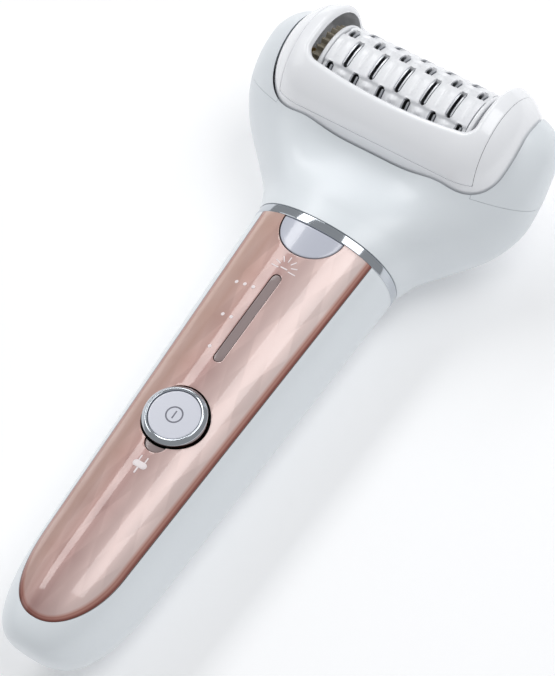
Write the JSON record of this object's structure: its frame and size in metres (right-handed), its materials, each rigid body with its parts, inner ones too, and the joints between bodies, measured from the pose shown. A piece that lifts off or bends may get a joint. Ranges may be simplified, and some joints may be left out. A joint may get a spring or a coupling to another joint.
{
  "type": "epilator",
  "caption": "Cordless epilator: slim handle with a rose front panel, round power button and lamp bar, and a wide pivoting head with a spinning tweezer drum behind a lift-off window cap.",
  "frame": {"origin": "on the flat strip of the back face, straight below the power button's axis", "axes": "+Z out of the front, where the buttons are; +Y along the handle to the head; +X to the right across the head. The epilator lies on its back."},
  "size_m": [0.0724, 0.1574, 0.0409],
  "materials": {
    "white_shell": "gloss white",
    "white_cap": "gloss white",
    "inner_plastic": "moulded",
    "rose_panel": "tinted gloss",
    "rose_foil": "patterned metallic film",
    "black_rubber": "matt",
    "chrome": "polished",
    "grey_lens": "translucent grey",
    "button_face": "pearl silver",
    "smoke_lens": "smoked",
    "clear_guide": "clear acrylic",
    "board_green": "solder mask",
    "chip_black": "epoxy",
    "steel": "brushed",
    "cell_wrap": "shrink wrap",
    "brass": "plain",
    "gear_grey": "acetal",
    "gear_cream": "acetal",
    "pad_white": "satin"
  },
  "bodies": {
    "handle": {"handle_housing": "white_shell", "front_panel": "rose_panel", "panel_carrier": "rose_foil", "panel_gasket": "black_rubber", "collar_ring": "chrome", "neck_plate": "inner_plastic", "release_spring": "steel", "button_seal": "black_rubber", "charge_lamp": "smoke_lens", "lamp_bar": "smoke_lens", "light_guide": "clear_guide", "circuit_board": "board_green", "board_parts": "chip_black", "switch": "steel", "battery_cradle": "inner_plastic", "battery_cell": "cell_wrap", "battery_tabs": "steel", "motor_mount": "inner_plastic", "motor": "steel", "shaft_seal": "black_rubber", "charging_socket": "chip_black", "charging_pins": "brass", "cradle_screws": "steel"},
    "release": {"release_button": "grey_lens", "release_stem": "inner_plastic"},
    "power": {"power_button_ring": "chrome", "power_button_cap": "button_face"},
    "rotor": {"motor_shaft": "steel", "drive_dog": "chip_black"},
    "head": {"head_shell": "white_shell", "left_ear": "white_shell", "right_ear": "white_shell", "head_base": "inner_plastic", "idler_pin": "steel", "gear_bracket": "inner_plastic", "drum_axle": "steel"},
    "input": {"input_shaft": "gear_cream", "input_pinion": "gear_cream"},
    "lay": {"crown_gear": "gear_cream", "lay_shaft": "steel", "lay_gear": "gear_cream"},
    "idler": {"idler_gear": "gear_cream"},
    "drum": {"drum_core": "pad_white", "drum_pads": "pad_white", "drum_collars": "pad_white", "drum_gear": "gear_grey", "fixed_tweezers": "steel"},
    "tweezers": {"moving_tweezers": "steel"},
    "pivot": {"pivot_frame": "white_cap", "pivot_bushes": "brass"},
    "cap": {"window_cap": "white_cap"}
  },
  "joints": [
    {"name": "head_release", "type": "slide", "parent": "handle", "child": "head", "axis": [0, 1, 0], "range_m": [0, 0.025]},
    {"name": "release_press", "type": "slide", "parent": "handle", "child": "release", "axis": [0, 0, -1], "range_m": [0, 0.0008], "stiffness_N_per_m": 800, "deforming": ["release_spring"]},
    {"name": "button_press", "type": "slide", "parent": "handle", "child": "power", "axis": [0, 0, -1], "range_m": [0, 0.0006], "stiffness_N_per_m": 1500},
    {"name": "rotor_spin", "type": "hinge", "parent": "handle", "child": "rotor", "pos_m": [0, 0.03, 0.0112], "axis": [0, 1, 0], "continuous": true},
    {"name": "input_spin", "type": "hinge", "parent": "head", "child": "input", "pos_m": [0, 0.06, 0.0112], "axis": [0, 1, 0], "continuous": true},
    {"name": "lay_spin", "type": "hinge", "parent": "head", "child": "lay", "pos_m": [-0.012, 0.07, 0.0112], "axis": [1, 0, 0], "continuous": true},
    {"name": "idler_spin", "type": "hinge", "parent": "head", "child": "idler", "pos_m": [-0.02, 0.07584, 0.01804], "axis": [1, 0, 0], "continuous": true},
    {"name": "drum_spin", "type": "hinge", "parent": "head", "child": "drum", "pos_m": [0, 0.0875, 0.0265], "axis": [1, 0, 0], "continuous": true},
    {"name": "tweezer_close", "type": "slide", "parent": "drum", "child": "tweezers", "axis": [-1, 0, 0], "range_m": [0, 0.0006]},
    {"name": "head_pivot", "type": "hinge", "parent": "head", "child": "pivot", "pos_m": [0, 0.0875, 0.0265], "axis": [1, 0, 0], "range_deg": [-15, 15]},
    {"name": "cap_lift", "type": "slide", "parent": "pivot", "child": "cap", "axis": [0, 0.6157, 0.788], "range_m": [0, 0.02]}
  ],
  "couplings": [
    {"joint": "idler_spin", "follows": "drum_spin", "ratio": -1.6667},
    {"joint": "lay_spin", "follows": "drum_spin", "ratio": 2.5},
    {"joint": "input_spin", "follows": "drum_spin", "ratio": -4.1667},
    {"joint": "rotor_spin", "follows": "drum_spin", "ratio": -4.1667}
  ]
}
